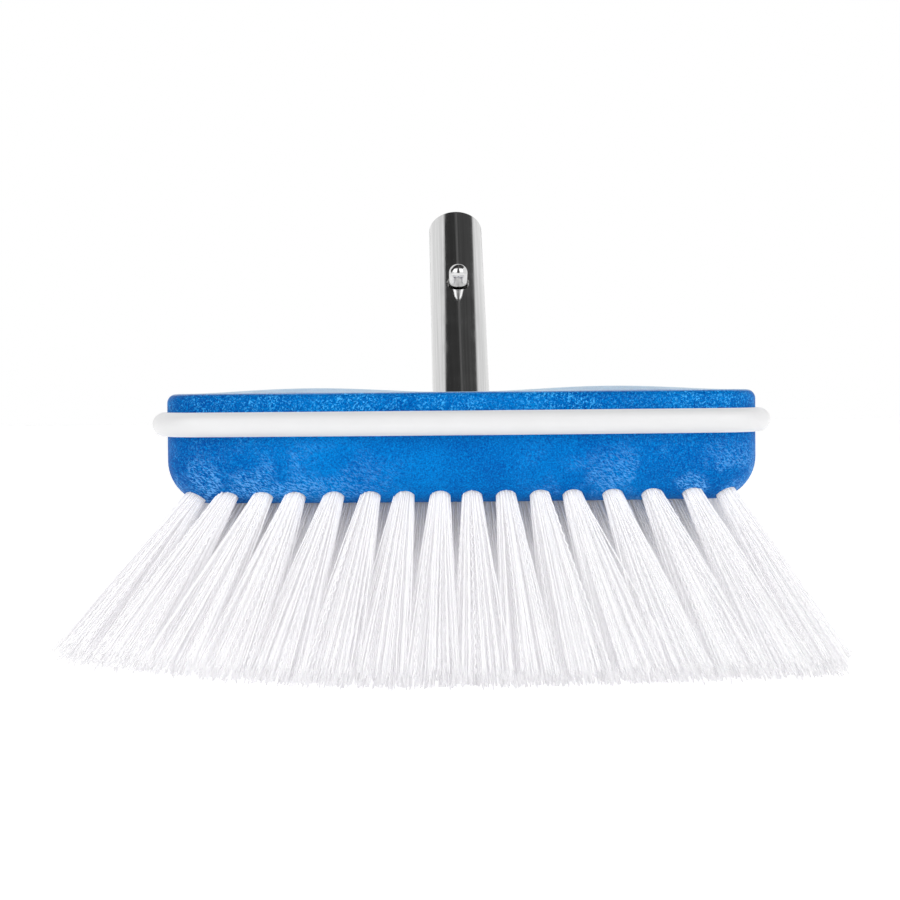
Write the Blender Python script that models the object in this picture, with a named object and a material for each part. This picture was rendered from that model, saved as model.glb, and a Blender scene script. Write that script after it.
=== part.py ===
"""Pool wall brush: a moulded foam block with a vinyl bumper, flared bristle tufts and a steel pole handle.

Metres, +Z up. The bristle tips stand on Z = 0, X runs along the block, -Y is the front, and the handle
leans back towards +Y. The origin is at the bottom centre of the whole brush.

The block's plan outline is made of six tangent arcs: four corners and two long, slightly bowed sides.
Every level of the block and of the bumper is that outline, offset along its own normal.
"""

import math

import bmesh
import bpy
from mathutils import Vector

MM = 0.001
CLEARANCE = 0.3 * MM

# Block
BLOCK_LENGTH = 254 * MM
BLOCK_DEPTH = 70 * MM
BLOCK_HEIGHT = 47.2 * MM
SIDE_RADIUS = 1000 * MM
CORNER_RADIUS = 22 * MM
LOWER_ROUNDING = 18.5 * MM
UPPER_ROUNDING = 4 * MM
CORNER_STEPS = 5
SIDE_STEPS = 12
LOWER_ROUNDING_STEPS = 5
UPPER_ROUNDING_STEPS = 3

# The block's top swells gently on both sides of the handle.
CROWN_RISE = 2 * MM
CROWN_CENTRE = 65 * MM
CROWN_REACH = 56 * MM
TOP_RING_SHARES = (0.25, 0.5, 0.75, 0.93)

# Bumper, a strip with a round nose and a tongue that sits in the block's groove
BUMPER_HEIGHT = 10.3 * MM
BUMPER_REACH = 6.4 * MM
BUMPER_BELOW_TOP = 13 * MM
NOSE_FLAT = 1.2 * MM
NOSE_STEPS = 6
GROOVE_DEPTH = 5 * MM
GROOVE_HEIGHT = 5.4 * MM

# Bristle tufts. The columns of holes are unevenly spaced, the cut ends evenly.
FREE_HEIGHT = 76.8 * MM
COLUMN_PLACES_MM = (
    -114.5, -100.5, -85.5, -71.5, -55, -39.5, -25, -10,
    3.5, 18, 32.5, 46.5, 63.5, 80.5, 98, 113,
)
COLUMNS = len(COLUMN_PLACES_MM)
TIP_PITCH = 20.8 * MM
EDGE_INSET = 8.9 * MM
TUFT_DIAMETER = 8.4 * MM
HOLE_DEPTH = 10 * MM
HOLE_OVERRUN = 7 * MM
COLLAR = 4 * MM
SIDEWAYS_REACH = 31.5 * MM
END_TIP_RISE = 6 * MM
EDGE_ROW_TIP_RISE = 5 * MM
TIP_FILL = 0.485
JOINED_TIP_FILL = 0.53
STAGGERED_ROW_FILL = 0.46
END_COLUMN_ROWS = (-2 / 3, 2 / 3)

# Handle tube, in its own frame: +Z runs up the tube from the block's top, and -Y faces up and forwards
HANDLE_LEAN = math.radians(45)
HANDLE_FOOT_Y = 8 * MM
TUBE_DIAMETER = 25 * MM
TUBE_WALL = 1.4 * MM
TUBE_VISIBLE = 107.7 * MM
TUBE_INSERTION = 36 * MM
TUBE_EDGE = 0.2 * MM
TUBE_SIDES = 32
PIN_DIAMETER = 5 * MM
PIN_LENGTH = 46 * MM
PIN_ABOVE_TUBE_FOOT = 20 * MM
PLUG_LENGTH = 11 * MM
PLUG_WALL = 2 * MM

# Snap button and its spring clip, with distances from the tube's axis towards the front
BUTTON_BELOW_TUBE_END = 49.7 * MM
BUTTON_DIAMETER = 8.4 * MM
BUTTON_PROTRUSION = 9.5 * MM
BUTTON_DOME = 4 * MM
BUTTON_DOME_STEPS = 5
BUTTON_SIDES = 24
BUTTON_HOLE_DIAMETER = 10.4 * MM
SHANK_DIAMETER = 4.6 * MM
RIVET_HEAD_DIAMETER = 7 * MM
RIVET_HEAD_THICKNESS = 1 * MM
STRIP_THICKNESS = 0.8 * MM
STRIP_WIDTH = 9 * MM
LEG_OFFSET = 9.3 * MM
CLIP_LENGTH = 45 * MM
CLIP_PAST_BUTTON = 7 * MM
CLIP_BEND_RADIUS = 3 * MM
CLIP_BEND_STEPS = 6

SMOOTH_BELOW = math.radians(35)

BLOCK_TOP = FREE_HEIGHT + BLOCK_HEIGHT
TUFT_RADIUS = TUFT_DIAMETER / 2
TUBE_RADIUS = TUBE_DIAMETER / 2
BORE_RADIUS = TUBE_RADIUS - TUBE_WALL
HALF_COLUMNS = (COLUMNS - 1) / 2


def finish(name, material):
    """A Principled material from (colour, roughness, metallic)."""
    colour, roughness, metallic = material
    made = bpy.data.materials.new(name)
    made.use_nodes = True
    shader = made.node_tree.nodes["Principled BSDF"]
    shader.inputs["Base Color"].default_value = (*colour, 1)
    shader.inputs["Roughness"].default_value = roughness
    shader.inputs["Metallic"].default_value = metallic
    return made


def solid(name, shape, parent, material=None):
    """An object made of a bmesh, smooth where its faces meet gently. Without a material it is a cutter."""
    bmesh.ops.recalc_face_normals(shape, faces=shape.faces)
    mesh = bpy.data.meshes.new(name)
    shape.to_mesh(mesh)
    shape.free()
    piece = bpy.data.objects.new(name, mesh)
    bpy.context.scene.collection.objects.link(piece)
    piece.parent = parent
    if material:
        mesh.materials.append(material)
        mesh.shade_smooth()
        mesh.set_sharp_from_angle(angle=SMOOTH_BELOW)
    else:
        piece.hide_render = True
        piece.display_type = "WIRE"
    return piece


def boolean(piece, operation, other):
    """Adds an exact Boolean with one object, or with every object of a collection."""
    modifier = piece.modifiers.new(f"{operation.lower()} {other.name}", "BOOLEAN")
    modifier.operation = operation
    modifier.solver = "EXACT"
    if isinstance(other, bpy.types.Collection):
        modifier.operand_type = "COLLECTION"
        modifier.collection = other
    else:
        modifier.object = other


def add_loft(shape, rings, closed=False):
    """Joins rings of equal point counts into a skin. It is capped at both ends, or closed into a loop."""
    loops = [[shape.verts.new(point) for point in ring] for ring in rings]
    pairs = list(zip(loops, loops[1:]))
    if closed:
        pairs.append((loops[-1], loops[0]))
    else:
        shape.faces.new(loops[0])
        shape.faces.new(loops[-1])
    for near, far in pairs:
        for here, there in zip(range(-1, len(near)), range(len(near))):
            shape.faces.new((near[here], near[there], far[there], far[here]))
    return loops


def cap_with_strips(shape, loop):
    """Closes a loop that isn't flat: its one face gives way to strips between mirrored points."""
    shape.faces.remove(shape.faces.get(loop))
    last = len(loop) - 1
    for here in range(len(loop) // 2 - 1):
        shape.faces.new((loop[here], loop[here + 1], loop[last - here - 1], loop[last - here]))


def loft(name, rings, parent, material=None, closed=False):
    shape = bmesh.new()
    add_loft(shape, rings, closed)
    return solid(name, shape, parent, material)


def arc(centre, radius, start, end, steps):
    """Points (across, up) along an arc, both ends included."""
    angles = [start + (end - start) * step / steps for step in range(steps + 1)]
    return [(centre[0] + radius * math.cos(a), centre[1] + radius * math.sin(a)) for a in angles]


def turned(name, profile, sides, parent, material=None):
    """A solid of revolution about its own Z axis, from (radius, height) points listed from top to bottom."""
    shape = bmesh.new()
    points = [shape.verts.new((radius, 0, height)) for radius, height in profile]
    for upper, lower in zip(points, points[1:]):
        shape.edges.new((upper, lower))
    if profile[0][0] > 0:
        shape.edges.new((points[-1], points[0]))
    piece = solid(name, shape, parent, material)
    screw = piece.modifiers.new("turn", "SCREW")
    screw.steps = sides
    screw.render_steps = sides
    screw.use_merge_vertices = True
    screw.merge_threshold = 0.00001
    screw.use_smooth_shade = True
    return piece


# Plan outline

CORNER_X = BLOCK_LENGTH / 2 - CORNER_RADIUS
SIDE_CENTRE = SIDE_RADIUS - BLOCK_DEPTH / 2
CORNER_Y = math.sqrt((SIDE_RADIUS - CORNER_RADIUS) ** 2 - CORNER_X**2) - SIDE_CENTRE
CORNER_LEAN = math.asin(CORNER_X / (SIDE_RADIUS - CORNER_RADIUS))


def plan_outline(offset, height):
    """The block's outline at a height, offset outwards along its normal."""
    right = math.pi / 2 - CORNER_LEAN
    left = math.pi / 2 + CORNER_LEAN
    corner = CORNER_RADIUS + offset
    side = SIDE_RADIUS + offset
    back = (
        arc((CORNER_X, CORNER_Y), corner, 0, right, CORNER_STEPS)
        + arc((0, -SIDE_CENTRE), side, right, left, SIDE_STEPS)[1:-1]
        + arc((-CORNER_X, CORNER_Y), corner, left, math.pi, CORNER_STEPS)
    )
    front = [(-x, -y) for x, y in back]
    return [Vector((x, y, height)) for x, y in back + front]


def row_edge(x):
    """How far out the edge row of tufts stands at a column: a fixed inset from the outline."""
    past_corner = abs(x) - CORNER_X
    corner = CORNER_RADIUS - EDGE_INSET
    if past_corner > corner * math.sin(CORNER_LEAN):
        return CORNER_Y + math.sqrt(corner**2 - past_corner**2)
    return math.sqrt((SIDE_RADIUS - EDGE_INSET) ** 2 - x**2) - SIDE_CENTRE


def rounding_rise(inset):
    """How far the rounded lower edge stands above the block's flat underside."""
    short = max(0, LOWER_ROUNDING - inset)
    return LOWER_ROUNDING - math.sqrt(LOWER_ROUNDING**2 - short**2)


# Tufts. A tuft's place is (column, row): columns run from -7.5 to 7.5, rows from -2 at the front to 2.
# Rows -1 and 1 are staggered, so their columns are whole numbers, half-way between the others.


def column_x(column):
    """Where a column of holes stands. A staggered one is midway between its neighbours."""
    place = column + HALF_COLUMNS
    left, right = COLUMN_PLACES_MM[math.floor(place)], COLUMN_PLACES_MM[math.ceil(place)]
    return (left + right) / 2 * MM


def tuft_root(column, row):
    x = column_x(column)
    inset = EDGE_INSET if abs(row) == 2 else BLOCK_LENGTH / 2 - abs(x)
    return Vector((x, row / 2 * row_edge(x), FREE_HEIGHT + rounding_rise(inset)))


def tuft_tip(column, row, aside=0, forth=0):
    """A point of the tuft's cut end: its middle, or moved by shares of a column and of a row."""
    outermost = HALF_COLUMNS * TIP_PITCH
    middle_x = column * TIP_PITCH
    row_depth = (row_edge(column_x(column)) + SIDEWAYS_REACH) / 2
    along = aside * TIP_PITCH
    end_share = middle_x / outermost
    past_inner_rows = max(0, abs(row) - 1)
    height = END_TIP_RISE * abs(end_share) ** 3 + EDGE_ROW_TIP_RISE * past_inner_rows**2
    slope_along = 3 * END_TIP_RISE * end_share * abs(end_share) / outermost
    rise_per_row = 2 * EDGE_ROW_TIP_RISE * math.copysign(past_inner_rows, row)
    height += slope_along * along + rise_per_row * forth
    return Vector((middle_x + along, (row + forth) * row_depth, height))


OCTAGON = [
    (math.cos(angle), math.sin(angle))
    for angle in (math.radians(45) * (corner + 0.5) for corner in range(8))
]
ROUNDED_SQUARE = [
    (math.copysign(min(1, 1.25 * abs(x)), x), math.copysign(min(1, 1.25 * abs(y)), y)) for x, y in OCTAGON
]


def root_ring(root, axis, radius, along):
    """An octagon square to the tuft's axis, a distance along it from the root, flat to flat 2 * radius."""
    across = (Vector((1, 0, 0)) - axis * axis.x).normalized()
    sideways = across.cross(axis)
    if sideways.y < 0:
        sideways.negate()
    corner = radius / math.cos(math.radians(22.5))
    centre = root + axis * along
    return [centre + (across * x + sideways * y) * corner for x, y in OCTAGON]


def tuft_rings(column, row, left_fill=TIP_FILL, right_fill=TIP_FILL, row_fill=TIP_FILL):
    """A tuft from its hole's floor to its cut end: a straight root, then a flare.

    The fills are how far the cut end reaches on each side, as shares of a column and of a row.
    """
    root = tuft_root(column, row)
    axis = (tuft_tip(column, row) - root).normalized()
    tip = [
        tuft_tip(column, row, (right_fill if x > 0 else left_fill) * x, row_fill * y)
        for x, y in ROUNDED_SQUARE
    ]
    return [
        root_ring(root, axis, TUFT_RADIUS, CLEARANCE - HOLE_DEPTH),
        root_ring(root, axis, TUFT_RADIUS, COLLAR),
        tip,
    ]


def hole_rings(column, row):
    root = tuft_root(column, row)
    axis = (tuft_tip(column, row) - root).normalized()
    radius = TUFT_RADIUS + CLEARANCE
    return [root_ring(root, axis, radius, -HOLE_DEPTH), root_ring(root, axis, radius, HOLE_OVERRUN)]


def edge_tufts():
    """Name, column and row of each tuft round the edge, which stands as a piece of its own."""
    columns = [number - HALF_COLUMNS for number in range(COLUMNS)]
    places = [
        (f"tuft_{side}_{number:02}", column, row)
        for side, row in (("front", -2), ("back", 2))
        for number, column in enumerate(columns, 1)
    ]
    places += [
        (f"tuft_{side}_end_{number}", column, row)
        for side, column in (("left", columns[0]), ("right", columns[-1]))
        for number, row in enumerate(END_COLUMN_ROWS, 1)
    ]
    return places


def inner_rows():
    """Name, row, columns and depth fill of the inner rows, whose flared ends press together."""
    columns = [number - HALF_COLUMNS for number in range(1, COLUMNS - 1)]
    staggered = [column + 0.5 for column in columns[:-1]]
    return [
        ("tuft_row_inner_front", -1, staggered, STAGGERED_ROW_FILL),
        ("tuft_row_middle", 0, columns, TIP_FILL),
        ("tuft_row_inner_back", 1, staggered, STAGGERED_ROW_FILL),
    ]


def build_tufts(parent, material):
    for name, column, row in edge_tufts():
        row_fill = TIP_FILL * (4 / 3 if row in END_COLUMN_ROWS else 1)
        loft(name, tuft_rings(column, row, row_fill=row_fill), parent, material)
    for name, row, columns, row_fill in inner_rows():
        first, *others = [
            tuft_rings(
                column,
                row,
                TIP_FILL if column == columns[0] else JOINED_TIP_FILL,
                TIP_FILL if column == columns[-1] else JOINED_TIP_FILL,
                row_fill,
            )
            for column in columns
        ]
        joined = bpy.data.collections.new(f"{name}_others")
        bpy.context.scene.collection.children.link(joined)
        for number, rings in enumerate(others, 2):
            other = loft(f"{name}_tuft_{number}", rings, parent)
            bpy.context.scene.collection.objects.unlink(other)
            joined.objects.link(other)
        boolean(loft(name, first, parent, material), "UNION", joined)


# Block and bumper


def crown(x, y):
    """The two gentle swells of the block's top."""
    along = 1 - ((abs(x) - CROWN_CENTRE) / CROWN_REACH) ** 2
    across = 1 - (y / (BLOCK_DEPTH / 2)) ** 2
    return CROWN_RISE * max(0, along) ** 2 * max(0, across) ** 2


def block_rings():
    low = arc((-LOWER_ROUNDING, LOWER_ROUNDING), LOWER_ROUNDING, -math.pi / 2, 0, LOWER_ROUNDING_STEPS)
    groove_low = BLOCK_HEIGHT - BUMPER_BELOW_TOP - GROOVE_HEIGHT / 2
    groove_high = groove_low + GROOVE_HEIGHT
    groove = [(0, groove_low), (-GROOVE_DEPTH, groove_low), (-GROOVE_DEPTH, groove_high), (0, groove_high)]
    high_centre = (-UPPER_ROUNDING, BLOCK_HEIGHT - UPPER_ROUNDING)
    high = arc(high_centre, UPPER_ROUNDING, 0, math.pi / 2, UPPER_ROUNDING_STEPS)
    rings = [plan_outline(offset, FREE_HEIGHT + height) for offset, height in low + groove + high]
    spine_end = (BLOCK_LENGTH - BLOCK_DEPTH) / 2
    rim = rings[-1]
    for share in TOP_RING_SHARES:
        ring = []
        for point in rim:
            spine = Vector((max(-spine_end, min(spine_end, point.x)), 0, point.z))
            inner = point.lerp(spine, share)
            ring.append(inner + Vector((0, 0, crown(inner.x, inner.y))))
        rings.append(ring)
    return rings


def build_block(parent, handle, material):
    shape = bmesh.new()
    cap_with_strips(shape, add_loft(shape, block_rings())[-1])
    block = solid("block", shape, parent, material)
    socket_radius = TUBE_RADIUS + CLEARANCE
    socket_end = -TUBE_INSERTION - CLEARANCE
    overrun = 2 * socket_radius
    socket = turned(
        "handle_socket_cutter",
        [(0, overrun), (socket_radius, overrun), (socket_radius, socket_end), (0, socket_end)],
        TUBE_SIDES,
        handle,
    )
    boolean(block, "DIFFERENCE", socket)
    boolean(block, "DIFFERENCE", cross_pin("cross_pin_cutter", CLEARANCE, handle))
    holes = bmesh.new()
    places = [(column, row) for _, column, row in edge_tufts()]
    places += [(column, row) for _, row, columns, _ in inner_rows() for column in columns]
    for column, row in places:
        add_loft(holes, hole_rings(column, row))
    boolean(block, "DIFFERENCE", solid("tuft_hole_cutter", holes, parent))


def build_bumper(parent, material):
    middle = BLOCK_TOP - BUMPER_BELOW_TOP
    half = BUMPER_HEIGHT / 2
    tongue_half = GROOVE_HEIGHT / 2 - CLEARANCE
    tongue_end = CLEARANCE - GROOVE_DEPTH
    nose = [
        (NOSE_FLAT + (BUMPER_REACH - NOSE_FLAT) * across, half * up)
        for across, up in arc((0, 0), 1, -math.pi / 2, math.pi / 2, NOSE_STEPS)
    ]
    profile = [(tongue_end, -tongue_half), (CLEARANCE, -tongue_half), (CLEARANCE, -half)]
    profile += nose
    profile += [(CLEARANCE, half), (CLEARANCE, tongue_half), (tongue_end, tongue_half)]
    rings = [plan_outline(offset, middle + height) for offset, height in profile]
    loft("bumper", rings, parent, material, closed=True)


# Handle. These pieces are placed in the handle's own frame.


def cross_pin(name, grow, handle, material=None):
    """The pin through the tube's foot, lying along X. Grown by the clearance it cuts its own bore."""
    radius = PIN_DIAMETER / 2 + grow
    half = PIN_LENGTH / 2 + grow
    pin = turned(name, [(0, half), (radius, half), (radius, -half), (0, -half)], 12, handle, material)
    pin.location.z = PIN_ABOVE_TUBE_FOOT - TUBE_INSERTION
    pin.rotation_euler.y = math.pi / 2
    return pin


def build_tube(handle, material):
    top, foot = TUBE_VISIBLE, -TUBE_INSERTION
    profile = [
        (BORE_RADIUS + TUBE_EDGE, top),
        (TUBE_RADIUS - TUBE_EDGE, top),
        (TUBE_RADIUS, top - TUBE_EDGE),
        (TUBE_RADIUS, foot),
        (BORE_RADIUS, foot),
        (BORE_RADIUS, top - TUBE_EDGE),
    ]
    tube = turned("handle_tube", profile, TUBE_SIDES, handle, material)
    hole_radius = BUTTON_HOLE_DIAMETER / 2
    hole = turned(
        "button_hole_cutter",
        [(0, 2 * TUBE_RADIUS), (hole_radius, 2 * TUBE_RADIUS), (hole_radius, 0), (0, 0)],
        BUTTON_SIDES,
        handle,
    )
    hole.location.z = TUBE_VISIBLE - BUTTON_BELOW_TUBE_END
    hole.rotation_euler.x = math.pi / 2
    boolean(tube, "DIFFERENCE", hole)
    boolean(tube, "DIFFERENCE", cross_pin("pin_hole_cutter", CLEARANCE, handle))


def build_end_plug(handle, material):
    """A cup that closes the tube's foot, open towards the block."""
    radius = BORE_RADIUS - CLEARANCE
    foot = -TUBE_INSERTION
    top = foot + PLUG_LENGTH
    hollow = radius - PLUG_WALL
    profile = [(0, top), (radius, top), (radius, foot), (hollow, foot), (hollow, top - PLUG_WALL)]
    turned("handle_end_plug", profile + [(0, top - PLUG_WALL)], TUBE_SIDES, handle, material)


def build_button(handle, material):
    """The domed button with the shank and clinched head that hold it on the spring's leg.

    Its origin is on the tube's axis, and its own Z axis is the line it slides along, outwards.
    """
    strip_top = LEG_OFFSET + STRIP_THICKNESS / 2
    strip_bottom = LEG_OFFSET - STRIP_THICKNESS / 2
    tip = TUBE_RADIUS + BUTTON_PROTRUSION
    flat = BUTTON_DIAMETER / 2 - BUTTON_DOME
    dome = arc((flat, tip - BUTTON_DOME), BUTTON_DOME, math.pi / 2, 0, BUTTON_DOME_STEPS)
    head_top = strip_bottom - CLEARANCE
    head_bottom = head_top - RIVET_HEAD_THICKNESS
    base = strip_top + CLEARANCE
    profile = [(0, tip)] + dome
    profile += [
        (BUTTON_DIAMETER / 2, base),
        (SHANK_DIAMETER / 2, base),
        (SHANK_DIAMETER / 2, head_top),
        (RIVET_HEAD_DIAMETER / 2, head_top),
        (RIVET_HEAD_DIAMETER / 2, head_bottom),
        (0, head_bottom),
    ]
    button = turned("snap_button", profile, BUTTON_SIDES, handle, material)
    button.location.z = TUBE_VISIBLE - BUTTON_BELOW_TUBE_END
    button.rotation_euler.x = math.pi / 2


def build_spring_clip(handle, material):
    """One bent strip: a leg under the button, a round bend, and a leg against the tube's back wall."""
    button_z = TUBE_VISIBLE - BUTTON_BELOW_TUBE_END
    bend_z = button_z - CLIP_LENGTH
    leg_top = button_z + CLIP_PAST_BUTTON
    bend = arc((0, bend_z), CLIP_BEND_RADIUS, 0, -math.pi, CLIP_BEND_STEPS)
    path = [(LEG_OFFSET, leg_top), (LEG_OFFSET, button_z - CLIP_PAST_BUTTON)]
    path += bend
    path += [(-LEG_OFFSET, button_z - CLIP_PAST_BUTTON), (-LEG_OFFSET, leg_top)]
    shape = bmesh.new()
    left = [shape.verts.new((-STRIP_WIDTH / 2, -out, height)) for out, height in path]
    right = [shape.verts.new((STRIP_WIDTH / 2, -out, height)) for out, height in path]
    for here in range(len(path) - 1):
        shape.faces.new((left[here], right[here], right[here + 1], left[here + 1]))
    clip = solid("spring_clip", shape, handle, material)
    thicken = clip.modifiers.new("thickness", "SOLIDIFY")
    thicken.thickness = STRIP_THICKNESS
    thicken.offset = 0
    thicken.use_even_offset = True
    hole_radius = SHANK_DIAMETER / 2 + CLEARANCE
    hole = turned(
        "shank_hole_cutter",
        [(0, TUBE_RADIUS), (hole_radius, TUBE_RADIUS), (hole_radius, 0), (0, 0)],
        BUTTON_SIDES,
        handle,
    )
    hole.location.z = button_z
    hole.rotation_euler.x = math.pi / 2
    boolean(clip, "DIFFERENCE", hole)


def empty(name, parent=None):
    made = bpy.data.objects.new(name, None)
    bpy.context.scene.collection.objects.link(made)
    made.parent = parent
    return made


def centre_front_to_back(brush):
    """Moves the whole brush along Y, so that the origin is at the middle of its depth."""
    bpy.context.view_layer.update()
    graph = bpy.context.evaluated_depsgraph_get()
    reach = [
        (piece.matrix_world @ vertex.co).y
        for piece in bpy.context.scene.objects
        if piece.type == "MESH" and not piece.hide_render
        for vertex in piece.evaluated_get(graph).data.vertices
    ]
    brush.location.y = -(min(reach) + max(reach)) / 2
    bpy.context.view_layer.update()


def build():
    for leftover in list(bpy.data.objects):
        bpy.data.objects.remove(leftover)
    blue_foam = finish("blue_foam", ((0.004, 0.175, 0.6), 0.45, 0))
    white_vinyl = finish("white_vinyl", ((0.83, 0.83, 0.84), 0.38, 0))
    white_bristle = finish("white_bristle", ((0.87, 0.87, 0.89), 0.5, 0))
    stainless = finish("stainless", ((0.6, 0.6, 0.6), 0.22, 1))
    polished = finish("polished_steel", ((0.75, 0.75, 0.75), 0.1, 1))
    spring_steel = finish("spring_steel", ((0.48, 0.47, 0.45), 0.35, 1))
    dark_plastic = finish("dark_plastic", ((0.05, 0.05, 0.055), 0.55, 0))

    brush = empty("brush")
    handle = empty("handle", brush)
    handle.location = (0, HANDLE_FOOT_Y, BLOCK_TOP)
    handle.rotation_euler.x = -HANDLE_LEAN

    build_block(brush, handle, blue_foam)
    build_bumper(brush, white_vinyl)
    build_tufts(brush, white_bristle)
    build_tube(handle, stainless)
    build_end_plug(handle, dark_plastic)
    cross_pin("handle_cross_pin", 0, handle, stainless)
    build_button(handle, polished)
    build_spring_clip(handle, spring_steel)
    centre_front_to_back(brush)


build()
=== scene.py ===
"""Looks of the pool wall brush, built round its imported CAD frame.

Metres, +Z up, in the frame's own axes. The block, bumper, handle and snap button get fine surfaces in
place of their faceted CAD solids, and every tuft gets real crimped filaments. Positions come from the
frame's boxes and from the same driving dimensions as the CAD model.
"""

import math

import bmesh
import bpy
import numpy as np
from mathutils import Matrix, Vector


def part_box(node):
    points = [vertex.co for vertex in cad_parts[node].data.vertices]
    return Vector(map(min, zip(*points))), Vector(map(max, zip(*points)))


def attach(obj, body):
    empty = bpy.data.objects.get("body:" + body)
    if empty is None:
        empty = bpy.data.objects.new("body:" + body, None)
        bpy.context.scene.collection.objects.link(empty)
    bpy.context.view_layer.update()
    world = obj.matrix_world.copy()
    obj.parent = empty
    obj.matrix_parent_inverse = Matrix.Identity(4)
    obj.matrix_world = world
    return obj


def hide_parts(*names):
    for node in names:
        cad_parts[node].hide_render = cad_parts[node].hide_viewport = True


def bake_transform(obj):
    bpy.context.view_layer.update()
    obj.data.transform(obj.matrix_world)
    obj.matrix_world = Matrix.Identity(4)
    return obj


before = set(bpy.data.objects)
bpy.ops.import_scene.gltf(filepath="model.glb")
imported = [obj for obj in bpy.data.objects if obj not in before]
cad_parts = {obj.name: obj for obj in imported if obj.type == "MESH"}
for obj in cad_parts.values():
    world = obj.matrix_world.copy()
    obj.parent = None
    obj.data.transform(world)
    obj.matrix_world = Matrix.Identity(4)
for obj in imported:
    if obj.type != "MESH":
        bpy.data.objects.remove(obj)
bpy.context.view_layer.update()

MM = 0.001
FULL_TURN = 2 * math.pi
GOLDEN_ANGLE = math.pi * (3 - math.sqrt(5))
SMALLEST = 1e-9
SMOOTH_BELOW = math.radians(32)
BRUSH = "brush"
BUTTON = "button"

# Block, with the same outline as the CAD solid but finer steps
BLOCK_LENGTH = 254 * MM
BLOCK_DEPTH = 70 * MM
BLOCK_HEIGHT = 47.2 * MM
SIDE_RADIUS = 1000 * MM
CORNER_RADIUS = 22 * MM
LOWER_ROUNDING = 18.5 * MM
UPPER_ROUNDING = 4 * MM
CORNER_STEPS = 18
SIDE_STEPS = 44
LOWER_ROUNDING_STEPS = 14
UPPER_ROUNDING_STEPS = 8
CROWN_RISE = 2 * MM
CROWN_CENTRE = 65 * MM
CROWN_REACH = 56 * MM
TOP_RINGS = 14
HOLE_SIDES = 20
HOLE_CLEARANCE = 0.3 * MM

# Bumper
BUMPER_HEIGHT = 10.3 * MM
BUMPER_REACH = 6.4 * MM
BUMPER_BELOW_TOP = 13 * MM
BUMPER_GAP = 0.15 * MM
NOSE_FLAT = 1.2 * MM
NOSE_STEPS = 22
GROOVE_DEPTH = 5 * MM
GROOVE_HEIGHT = 5.4 * MM

# Tufts. The columns of holes are unevenly spaced, the cut ends evenly.
COLUMN_PLACES_MM = (
    -114.5, -100.5, -85.5, -71.5, -55, -39.5, -25, -10,
    3.5, 18, 32.5, 46.5, 63.5, 80.5, 98, 113,
)
COLUMNS = len(COLUMN_PLACES_MM)
TIP_PITCH = 20.8 * MM
EDGE_INSET = 8.9 * MM
TUFT_RADIUS = 4.2 * MM
HOLE_DEPTH = 10 * MM
HOLE_OVERRUN = 7 * MM
SIDEWAYS_REACH = 31.5 * MM
EDGE_ROW_TIP_RISE = 5 * MM
END_COLUMN_ROWS = (-2 / 3, 2 / 3)
END_ROW_REACH = 4 / 3

# Filaments. A crimp is a pitch and a height. The cut ends spread over a share of the space between tufts,
# gather into locks and stray a little. They splay more to the left, so the left end's stand higher.
FILAMENT_RADIUS = 0.4 * MM
FILAMENT_SIDES = 3
FILAMENTS_EDGE_TUFT = 112
FILAMENTS_INNER_TUFT = 48
FILAMENT_START = -4 * MM
CRIMPED_ONE_IN = 6
INNER_CRIMPED_ONE_IN = 12
CRIMP_POINTS = 3
FINE_CRIMP = (4.2 * MM, 0.5 * MM)
SLACK_CRIMP = (18 * MM, 0.12 * MM)
FOOTPRINT = 0.65
OUTWARD_SHARE = 0.62
TIP_LEAN = -5 * MM
LEFT_TIP_RISE = 11 * MM
RIGHT_TIP_RISE = 2.5 * MM
CRIMP_SETTLES = 0.2
CRIMP_HEIGHTS = (0.75, 1.2)
PITCH_SPREAD = 0.06
BOW = 0.4 * MM
BUNDLE_SHAKE = 0.35
LOCKS = 13
LOCK_PULL = 0.42
SHAKEN_ENDS = 0.5 * MM
STRAY_SHARE = 0.04
STRAY_REACH = 3.5 * MM
RAGGED = 0.9 * MM
FLOOR_GAP = 0.2 * MM

# Handle, in its own frame: +Z runs up the tube from the block's top, and -Y faces up and forwards
HANDLE_LEAN = math.radians(45)
HANDLE_FOOT_Y = 8 * MM
TUBE_RADIUS = 12.5 * MM
TUBE_WALL = 1.4 * MM
TUBE_VISIBLE = 107.7 * MM
TUBE_INSERTION = 36 * MM
TUBE_EDGE = 0.35 * MM
TUBE_SIDES = 128
PIN_RADIUS = 2.5 * MM
PIN_HALF_LENGTH = 23 * MM
PIN_ABOVE_TUBE_FOOT = 20 * MM
BUTTON_BELOW_TUBE_END = 49.7 * MM
BUTTON_HOLE_RADIUS = 5.2 * MM
BUTTON_RADIUS = 4.2 * MM
BUTTON_PROTRUSION = 9.5 * MM
BUTTON_DOME = 4 * MM
BUTTON_SIDES = 72
SHANK_RADIUS = 2.3 * MM
RIVET_HEAD_RADIUS = 3.5 * MM
RIVET_HEAD_THICKNESS = 1 * MM
LEG_OFFSET = 9.3 * MM
STRIP_THICKNESS = 0.8 * MM
STRIP_WIDTH = 9 * MM
CLIP_LENGTH = 45 * MM
CLIP_PAST_BUTTON = 7 * MM
CLIP_BEND_RADIUS = 3 * MM
CLIP_BEND_STEPS = 16
CLIP_LEG_STEPS = 24

# Camera, placed round the block's centre
CAMERA_DISTANCE = 850 * MM
CAMERA_ABOVE_TOP = 2.5 * MM
CAMERA_ASIDE = -5.2 * MM
CAMERA_TURN = math.radians(-1.2)
CAMERA_PITCH = math.radians(-1.885)
CAMERA_ROLL = math.radians(-0.5)
CAMERA_LENS = 77.9
SENSOR_WIDTH = 36

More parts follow.
